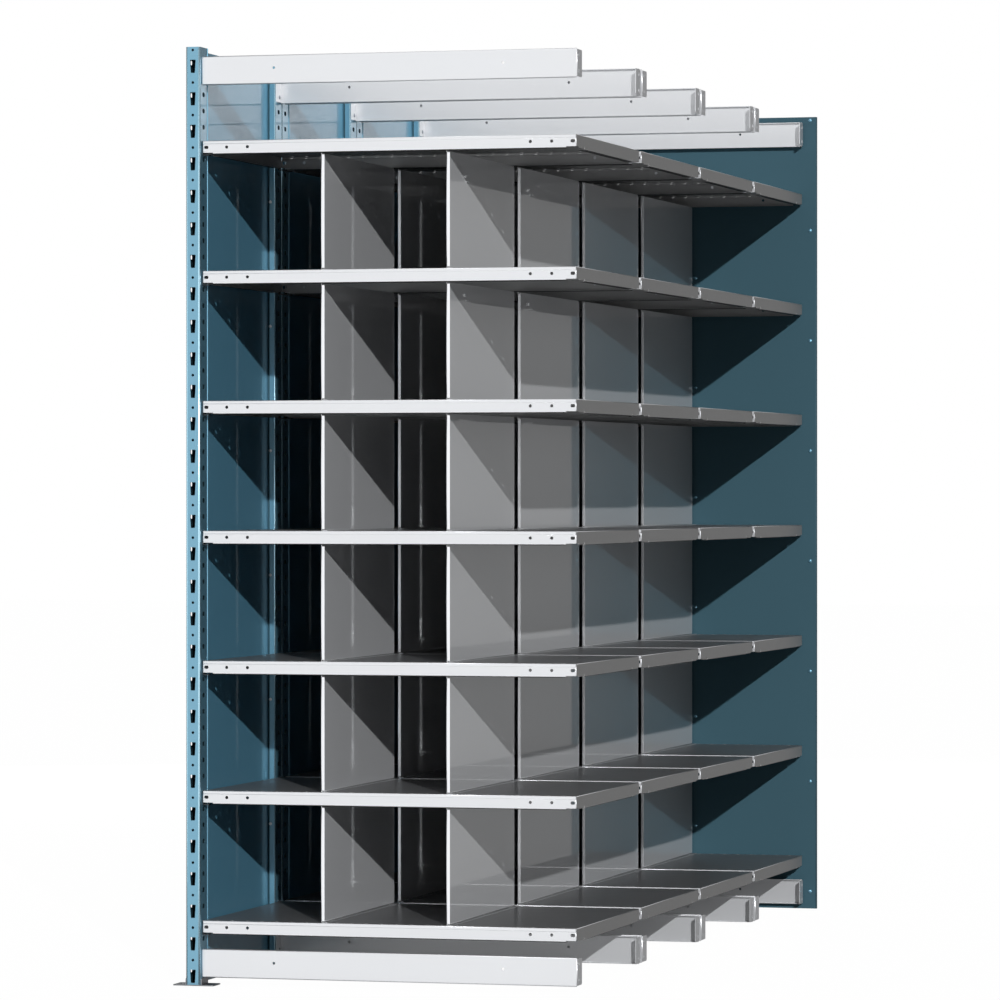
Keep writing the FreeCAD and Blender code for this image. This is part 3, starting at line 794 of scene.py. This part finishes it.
# Beams
def make_beam(length, height):
    """Channel with its face at the front, flanges and end plates folded back."""
    flange_steps = [(BEAM_BEND, QUARTER, BEAM_FLANGE - BEAM_BEND)]
    plate_steps = [(BEAM_BEND, QUARTER, BEAM_PLATE - BEAM_BEND)]
    flat_u = length / 2 - BEAM_BEND
    flat_v = height / 2 - BEAM_BEND
    plate = flat_u + bend_reach(plate_steps, 1)
    flange = flat_v + bend_reach(flange_steps, 1)
    blank = Blank(mirrored_outline([
        (plate, flat_v - BEAM_CORNER), (plate - BEAM_CORNER, flat_v), (flat_u, flat_v),
        (flat_u, flat_v + BEAM_BEND * QUARTER), (flat_u - BEAM_RELIEF, flat_v + BEAM_BEND * QUARTER),
        (flat_u - BEAM_RELIEF, flange)]))
    for way in (1, -1):
        blank.bend(0, way, way * flat_u, plate_steps)
        blank.bend(1, way, way * flat_v, flange_steps)
        blank.punch_round(way * (length / 2 - BEAM_FACE_HOLE_IN), BEAM_FACE_HOLE_RISE, BEAM_FACE_HOLE)
        for side in (1, -1):
            across = flat_u + BEAM_BEND * QUARTER + PLATE_HOLE_BACK - BEAM_BEND
            blank.punch_round(way * across, side * PLATE_HOLE_PITCH / 2, PLATE_HOLE)
    mesh = blank.fold("beam", BEAM_SHEET)
    mesh.transform(FACING_FRONT)
    return mesh


beam_low, beam_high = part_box("base_beams_1")
beam_middle = (beam_low.x + beam_high.x) / 2
beam_reach = (beam_high.y - beam_low.y) / 2
beam = make_beam(beam_high.x - beam_low.x, beam_high.z - beam_low.z)
beam_places = (at(0, -beam_reach, 0), at(0, beam_reach, 0) @ TURNED)
beam_pair = gather("beam_pair", [(beam, place) for place in beam_places], beam_pale)
for section in range(1, SECTIONS + 1):
    for level in ("base", "top"):
        node = "%s_beams_%d" % (level, section)
        low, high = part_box(node)
        dress("%s_beam_pair_%d" % (level, section), beam_pair,
              at(beam_middle, (low.y + high.y) / 2, (low.z + high.z) / 2), "pale_paint", node)


# Bin dividers
def make_divider(depth, height):
    """Web that faces right: front flange and foot folded right, rear hem folded left."""
    front_steps = [(DIVIDER_BEND, -QUARTER, DIVIDER_FLANGE - DIVIDER_BEND)]
    rear_steps = [(DIVIDER_BEND, QUARTER, DIVIDER_HEM - DIVIDER_BEND)]
    foot_steps = [(DIVIDER_FOOT_BEND, -QUARTER, DIVIDER_FOOT - DIVIDER_FOOT_BEND)]
    front_flat = depth / 2 - DIVIDER_BEND - DIVIDER_SHEET
    rear_flat = depth / 2 - DIVIDER_BEND
    front = front_flat + bend_reach(front_steps, 1)
    rear = rear_flat + bend_reach(rear_steps, 1)
    foot_line = DIVIDER_SHEET + DIVIDER_FOOT_BEND
    foot = foot_line - bend_reach(foot_steps, 1)
    foot_end = front_flat - DIVIDER_INSET
    flange_top = height - DIVIDER_RELIEF
    blank = Blank([(-foot_end, foot), (foot_end, foot), (foot_end, DIVIDER_RELIEF), (rear, DIVIDER_RELIEF),
                   (rear, flange_top), (foot_end, flange_top), (foot_end, height), (-foot_end, height),
                   (-foot_end, flange_top), (-front, flange_top), (-front, DIVIDER_RELIEF),
                   (-foot_end, DIVIDER_RELIEF)])
    blank.bend(0, 1, rear_flat, rear_steps)
    blank.bend(0, -1, -front_flat, front_steps)
    blank.bend(1, -1, foot_line, foot_steps)
    for along in FOOT_HOLES:
        blank.punch_round(along, (foot + foot_line - DIVIDER_FOOT_BEND * QUARTER) / 2, FOOT_HOLE)
    mesh = blank.fold("divider", DIVIDER_SHEET, divider_pale, divider_pale)
    mesh.transform(FACING_RIGHT)
    # Front-facing faces take the metallic edge copy of the divider paint, a painted highlight
    repaint(mesh, divider_edge_highlight, lambda normal, middle: normal.y < -TURNED_AWAY and middle.y < 0)
    # The foot's upward faces take the dark shelf-top grey, painted shade
    repaint(mesh, shelf_top, lambda normal, middle: normal.z > SLANTED and middle.z < height / 2)
    return mesh


level_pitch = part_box("shelf_row1_level2")[0].z - shelf_low.z
divider_low, divider_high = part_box("dividers_row1_line1")
divider_height = level_pitch - (shelf_high.z - shelf_low.z) - DIVIDER_CLEARANCE
divider = make_divider(divider_high.y + DIVIDER_TAIL - divider_low.y, divider_height)
divider_places = [at(0, 0, level * level_pitch) for level in range(LEVELS - 1)]
divider_stack = gather("divider_stack", [(divider, place) for place in divider_places])
for section in range(1, SECTIONS + 1):
    for line in range(1, DIVIDER_LINES + 1):
        node = "dividers_row%d_line%d" % (section, line)
        low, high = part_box(node)
        outward = DIVIDER_SPREAD if line == DIVIDER_LINES else -DIVIDER_SPREAD
        across = low.x + DIVIDER_SHEET + DIVIDER_SHIFT + outward
        dress("divider_stack_row%d_line%d" % (section, line), divider_stack,
              at(across, (low.y + high.y + DIVIDER_TAIL) / 2, low.z), "pale_paint", node)


# Panels
def make_panel(name, width, height, flange, bend, sheet, *paints):
    """Flat panel with its two upright edges folded back."""
    steps = [(bend, QUARTER, flange - bend)]
    flat = width / 2 - bend
    edge = flat + bend_reach(steps, 1)
    blank = Blank([(-edge, 0), (edge, 0), (edge, height), (-edge, height)])
    blank.bend(0, 1, flat, steps)
    blank.bend(0, -1, -flat, steps)
    return blank.fold(name, sheet, *paints)


side_low, side_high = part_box("side_panel_1")
side_panel = make_panel("side_panel", side_high.y - side_low.y, side_high.z - side_low.z,
                        side_high.x - side_low.x, SIDE_BEND, SIDE_SHEET, panel_blue, panel_blue)
side_panel.transform(FACING_LEFT)
# The edge flanges, inside the post channels, take the dark slot blue: painted shade
repaint(side_panel, slot_shade_blue, lambda normal, middle: abs(normal.y) > SLANTED)
for section in range(1, SECTIONS + 1):
    node = "side_panel_%d" % section
    low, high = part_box(node)
    dress("blue_side_%d" % section, side_panel, at(high.x - SIDE_SHEET, (low.y + high.y) / 2, low.z),
          "blue_paint", node)

back_low, back_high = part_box("back_panel")
back_middle = (back_low.x + back_high.x) / 2
# The back panel's front face takes the darker back blue, painted shade; its rear face takes the side-panel
# blue
back_panel = make_panel("back_sheet", back_high.x - back_low.x, back_high.z - back_low.z,
                        back_high.y - back_low.y, BACK_BEND, BACK_SHEET, back_shade_blue, panel_blue)
back_panel.transform(FACING_FRONT)
dress("blue_back", back_panel, at(back_middle, back_low.y, back_low.z), "blue_paint", "back_panel")


# Foot plates and shelf clips
def make_foot(width, depth):
    """Floor plate under a post with an ear up each wall, its middle under the post's middle."""
    half = width / 2 + FOOT_OVERHANG
    plate = Blank(rounded([(-half, -depth / 2), (half, -depth / 2), (half, depth / 2), (-half, depth / 2)],
                          FOOT_CORNER))
    plate.punch_round(ANCHOR_INSET - half, 0, ANCHOR_HOLE)
    ear_height = EAR_TOP - FOOT_SHEET
    ear_corners = oblong(0, 0, depth - 2 * FOOT_CORNER, 2 * ear_height, EAR_CORNER)
    ear = Blank([corner for corner in ear_corners if corner[1] > 0]
                + [(FOOT_CORNER - depth / 2, 0), (depth / 2 - FOOT_CORNER, 0)])
    ear_sheet = ear.fold("ear", FOOT_SHEET)
    right_ear = at(width / 2 + FOOT_SHEET, 0, FOOT_SHEET) @ FACING_RIGHT
    left_ear = at(-width / 2 - FOOT_SHEET, 0, FOOT_SHEET) @ FACING_LEFT
    return gather("foot", [(plate.fold("foot_plate", FOOT_SHEET), at(0, 0, FOOT_SHEET)),
                           (ear_sheet, right_ear), (ear_sheet, left_ear)])


def make_clip():
    """Bent clip with its leg against the post wall and its ledge to the right."""
    steps = [(CLIP_BEND, -QUARTER, CLIP_LEDGE - CLIP_SHEET - CLIP_BEND)]
    line = CLIP_SHEET + CLIP_BEND
    low = line - bend_reach(steps, 1)
    top = CLIP_SHEET + CLIP_RISE
    blank = Blank(rounded([(-CLIP_WIDTH / 2, low), (CLIP_WIDTH / 2, low), (CLIP_WIDTH / 2, top),
                           (-CLIP_WIDTH / 2, top)], CLIP_CORNER))
    blank.bend(1, -1, line, steps)
    mesh = blank.fold("clip", CLIP_SHEET)
    mesh.transform(at(CLIP_SHEET, 0, 0) @ FACING_RIGHT)
    return mesh


foot = make_foot(post_size.x, post_size.y)
foot_parts = []
clip = make_clip()
clip_parts = []
clip_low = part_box("shelf_clips")[0]
for section in range(1, SECTIONS + 1):
    front_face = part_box("post_front_%d" % section)[0].y
    rear_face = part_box("post_rear_%d" % section)[1].y
    for middle in (front_face + post_size.y / 2, rear_face - post_size.y / 2):
        foot_parts.append((foot, at(post_middle, middle, 0)))
    for level in range(LEVELS):
        for middle in (front_face + CLIP_INSET, rear_face - CLIP_INSET):
            clip_parts.append((clip, at(clip_low.x, middle, clip_low.z + level * level_pitch)))
dress("feet", gather("feet", foot_parts, plate_zinc), Matrix(), "zinc", "foot_plates")
# The clips take the near-black clip zinc, painted shade
dress("clips", gather("clips", clip_parts, clip_shade_zinc), Matrix(), "zinc", "shelf_clips")


# Bolts
def turn_profile(name, profile, sides):
    """Mesh of a profile of radius and height pairs, turned about the w axis; round ones are smooth."""
    work = bmesh.new()
    rings = []
    for radius, height in profile:
        spokes = [2 * math.pi * k / sides for k in range(sides)]
        rings.append([work.verts.new((radius * math.cos(a), radius * math.sin(a), height)) for a in spokes])
    for below, above in zip(rings, rings[1:]):
        for k in range(sides):
            face = work.faces.new((below[k], below[(k + 1) % sides], above[(k + 1) % sides], above[k]))
            face.smooth = sides > NUT_SIDES
    work.faces.new(rings[-1])
    work.faces.new(list(reversed(rings[0])))
    mesh = bpy.data.meshes.new(name)
    work.to_mesh(mesh)
    work.free()
    return mesh


def make_bolt(name, width, rise):
    """Low dome on a thin rim."""
    rim = rise * BOLT_RIM_SHARE
    radius = width / 2
    tilts = [QUARTER * k / DOME_STEPS for k in range(DOME_STEPS)]
    dome = [(radius * DOME_SHARE * math.cos(tilt), rim + (rise - rim) * math.sin(tilt)) for tilt in tilts]
    crown = (radius * CROWN_SHARE, rise)
    return turn_profile(name, [(radius, 0), (radius, rim)] + dome + [crown], BOLT_SIDES)


def make_nut(name, width, rise):
    """Hexagon nut with chamfered ends."""
    radius = width / 2 / math.cos(math.pi / NUT_SIDES)
    return turn_profile(name, [(radius * out, rise * up) for out, up in NUT_PROFILE], NUT_SIDES)


bolt = make_bolt("bolt", BOLT_HEAD, BOLT_RISE)
small_bolt = make_bolt("small_bolt", SMALL_BOLT_HEAD, SMALL_BOLT_RISE)
nut = make_nut("nut", NUT_WIDTH, NUT_RISE)
panel_bolts = []
for index in range(PANEL_BOLT_COUNT):
    up = PANEL_BOLT_FIRST + index * level_pitch
    panel_bolts.append((bolt, at(back_high.x - post_size.x / 2, back_low.y, up) @ FACING_FRONT))
    for across in (post_middle, back_high.x - post_size.x / 2):
        panel_bolts.append((nut, at(across, back_low.y + BACK_SHEET, up) @ FACING_REAR))
for line in range(1, DIVIDER_LINES + 1):
    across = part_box("dividers_row1_line%d" % line)[0].x + DIVIDER_FLANGE
    for level in range(LEVELS):
        up = shelf_high.z + level * level_pitch + DIVIDER_BOLT_ABOVE
        panel_bolts.append((small_bolt, at(across, back_low.y, up) @ FACING_FRONT))
dress("panel_bolts", gather("panel_bolts", panel_bolts, post_blue), Matrix(), "blue_paint")

lip_bolts = []
lip_middle = post_middle + POST_OPENING / 2 + LIP_BOLT_IN
for section in range(1, SECTIONS + 1):
    lip_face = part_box("post_rear_%d" % section)[0].y
    for level in range(LEVELS):
        up = shelf_high.z + level * level_pitch + LIP_BOLT_ABOVE
        lip_bolts.append((small_bolt, at(lip_middle, lip_face, up) @ FACING_FRONT))
# The lip bolts take the metallic edge paint, a painted highlight
dress("lip_bolts", gather("lip_bolts", lip_bolts, divider_edge_highlight), Matrix(), "pale_paint")

beam_bolts = []
for section in range(1, SECTIONS + 1):
    for level in ("base", "top"):
        low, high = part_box("%s_beams_%d" % (level, section))
        for side in (1, -1):
            up = (low.z + high.z + side * PLATE_HOLE_PITCH) / 2
            for back in (low.y + PLATE_HOLE_BACK, high.y - PLATE_HOLE_BACK):
                beam_bolts.append((bolt, at(low.x + BEAM_SHEET, back, up) @ FACING_RIGHT))
dress("beam_bolts", gather("beam_bolts", beam_bolts, bolt_zinc), Matrix(), "zinc")


# Studio
FLOOR_HALF = 40.0
FLOOR_LEVEL = -0.0005
FLOOR_SHOWN = 0.96
BAY_MIDDLE = Vector((0, 0, 1.1))
SUN_PLACE = (5, -12, 5)
SUN_WAY = Vector((-0.5, 1.0, -0.36))
SUN_STRENGTH = 1.9
SUN_ANGLE = math.radians(0.6)
SOFTBOX_SIZE = (6.5, 5.5)
SOFTBOX_PLACE = Vector((-3.3, -9.6, 1.7))
SOFTBOX_GLOW = 0.85
REAR_FILL_SIZE = (5.0, 1.8)
REAR_FILL_PLACE = Vector((-4.0, 8.0, 1.1))
REAR_FILL_GLOW = 11.0
AMBIENT = 0.075
MIRRORED_FRONT = 1.15
MIRRORED_REAR = 0.3
FLOOR_PALE = 0.55
FLOOR_GLOW = 1.03
FLOOR_FRONT = (-1.34, -1.28)
SKY_FRONT = (-0.4, 0.3)
CAMERA_PLACE = (3.4419, -12.8666, 1.1572)
CAMERA_TURN = math.radians(15.213)
CAMERA_TILT = math.radians(0.065)
CAMERA_LENS = 187.45
CAMERA_SHIFT = -0.0017
CAMERA_REACH = 200


def front_to_rear(tree, place, span):
    """Brightness in reflections: pale studio before the bay, dim room behind it."""
    depth = add(tree, "ShaderNodeSeparateXYZ", Vector=place).outputs["Y"]
    return between(tree, depth, span, MIRRORED_FRONT, MIRRORED_REAR)


def make_floor():
    """Pale floor that looks white to the camera and keeps a faint shadow."""
    corners = [(-1, -1), (1, -1), (1, 1), (-1, 1)]
    mesh = bpy.data.meshes.new("floor")
    mesh.from_pydata([(u * FLOOR_HALF, v * FLOOR_HALF, FLOOR_LEVEL) for u, v in corners], [], [(0, 1, 2, 3)])
    floor = bpy.data.objects.new("floor", mesh)
    bpy.context.scene.collection.objects.link(floor)
    material = bpy.data.materials.new("floor_white")
    material.use_nodes = True
    tree = material.node_tree
    tree.nodes.clear()
    ray = add(tree, "ShaderNodeLightPath").outputs
    mirrored = calculate(tree, "MAXIMUM", ray["Is Glossy Ray"], ray["Is Transmission Ray"])
    place = add(tree, "ShaderNodeNewGeometry").outputs["Position"]
    white = blend(tree, "FLOAT", ray["Is Camera Ray"], front_to_rear(tree, place, FLOOR_FRONT), FLOOR_GLOW)
    pale = add(tree, "ShaderNodeBsdfDiffuse", Color=(FLOOR_PALE, FLOOR_PALE, FLOOR_PALE, 1))
    glow = add(tree, "ShaderNodeEmission", Color=WHITE, Strength=white)
    in_view = calculate(tree, "MAXIMUM", mirrored, ray["Is Camera Ray"])
    seen = calculate(tree, "MULTIPLY", in_view, FLOOR_SHOWN)
    mixed = add(tree, "ShaderNodeMixShader", Fac=seen)
    tree.links.new(pale.outputs[0], mixed.inputs[1])
    tree.links.new(glow.outputs[0], mixed.inputs[2])
    add(tree, "ShaderNodeOutputMaterial", Surface=mixed.outputs[0])
    mesh.materials.append(material)


def make_world():
    """White to the camera, a softer pale grey in reflections, and a low fill on everything else."""
    world = bpy.data.worlds.new("studio")
    bpy.context.scene.world = world
    world.use_nodes = True
    tree = world.node_tree
    tree.nodes.clear()
    ray = add(tree, "ShaderNodeLightPath").outputs
    mirrored = calculate(tree, "MAXIMUM", ray["Is Glossy Ray"], ray["Is Transmission Ray"])
    way = add(tree, "ShaderNodeTexCoord").outputs["Generated"]
    level = blend(tree, "FLOAT", mirrored, AMBIENT, front_to_rear(tree, way, SKY_FRONT))
    strength = calculate(tree, "MAXIMUM", level, ray["Is Camera Ray"])
    background = add(tree, "ShaderNodeBackground", Color=WHITE, Strength=strength)
    add(tree, "ShaderNodeOutputWorld", Surface=background.outputs[0])


def make_lamp(name, kind, place, way, energy):
    """Lamp that the camera does not see."""
    lamp = bpy.data.lights.new(name, kind)
    lamp.energy = energy
    holder = bpy.data.objects.new(name, lamp)
    bpy.context.scene.collection.objects.link(holder)
    holder.location = place
    holder.rotation_euler = way.to_track_quat("-Z", "Y").to_euler()
    holder.visible_camera = False
    return holder


def make_softbox(name, size, place, glow):
    """Wide lamp that looks at the middle of the bay and stays out of reflections."""
    energy = glow * size[0] * size[1] * math.pi
    softbox = make_lamp(name, "AREA", place, BAY_MIDDLE - place, energy)
    softbox.visible_glossy = False
    softbox.data.shape = "RECTANGLE"
    softbox.data.size, softbox.data.size_y = size


def make_camera():
    """Camera at the viewing angle of the photograph."""
    lens = bpy.data.cameras.new("camera")
    lens.lens = CAMERA_LENS
    lens.shift_y = CAMERA_SHIFT
    lens.clip_end = CAMERA_REACH
    holder = bpy.data.objects.new("camera", lens)
    bpy.context.scene.collection.objects.link(holder)
    holder.location = CAMERA_PLACE
    holder.rotation_euler = (QUARTER - CAMERA_TILT, 0, CAMERA_TURN)
    bpy.context.scene.camera = holder


make_floor()
make_world()
sun = make_lamp("sun", "SUN", SUN_PLACE, SUN_WAY, SUN_STRENGTH)
sun.data.angle = SUN_ANGLE
make_softbox("softbox", SOFTBOX_SIZE, SOFTBOX_PLACE, SOFTBOX_GLOW)
make_softbox("rear_fill", REAR_FILL_SIZE, REAR_FILL_PLACE, REAR_FILL_GLOW)
make_camera()
bpy.context.scene.view_settings.view_transform = "Standard"
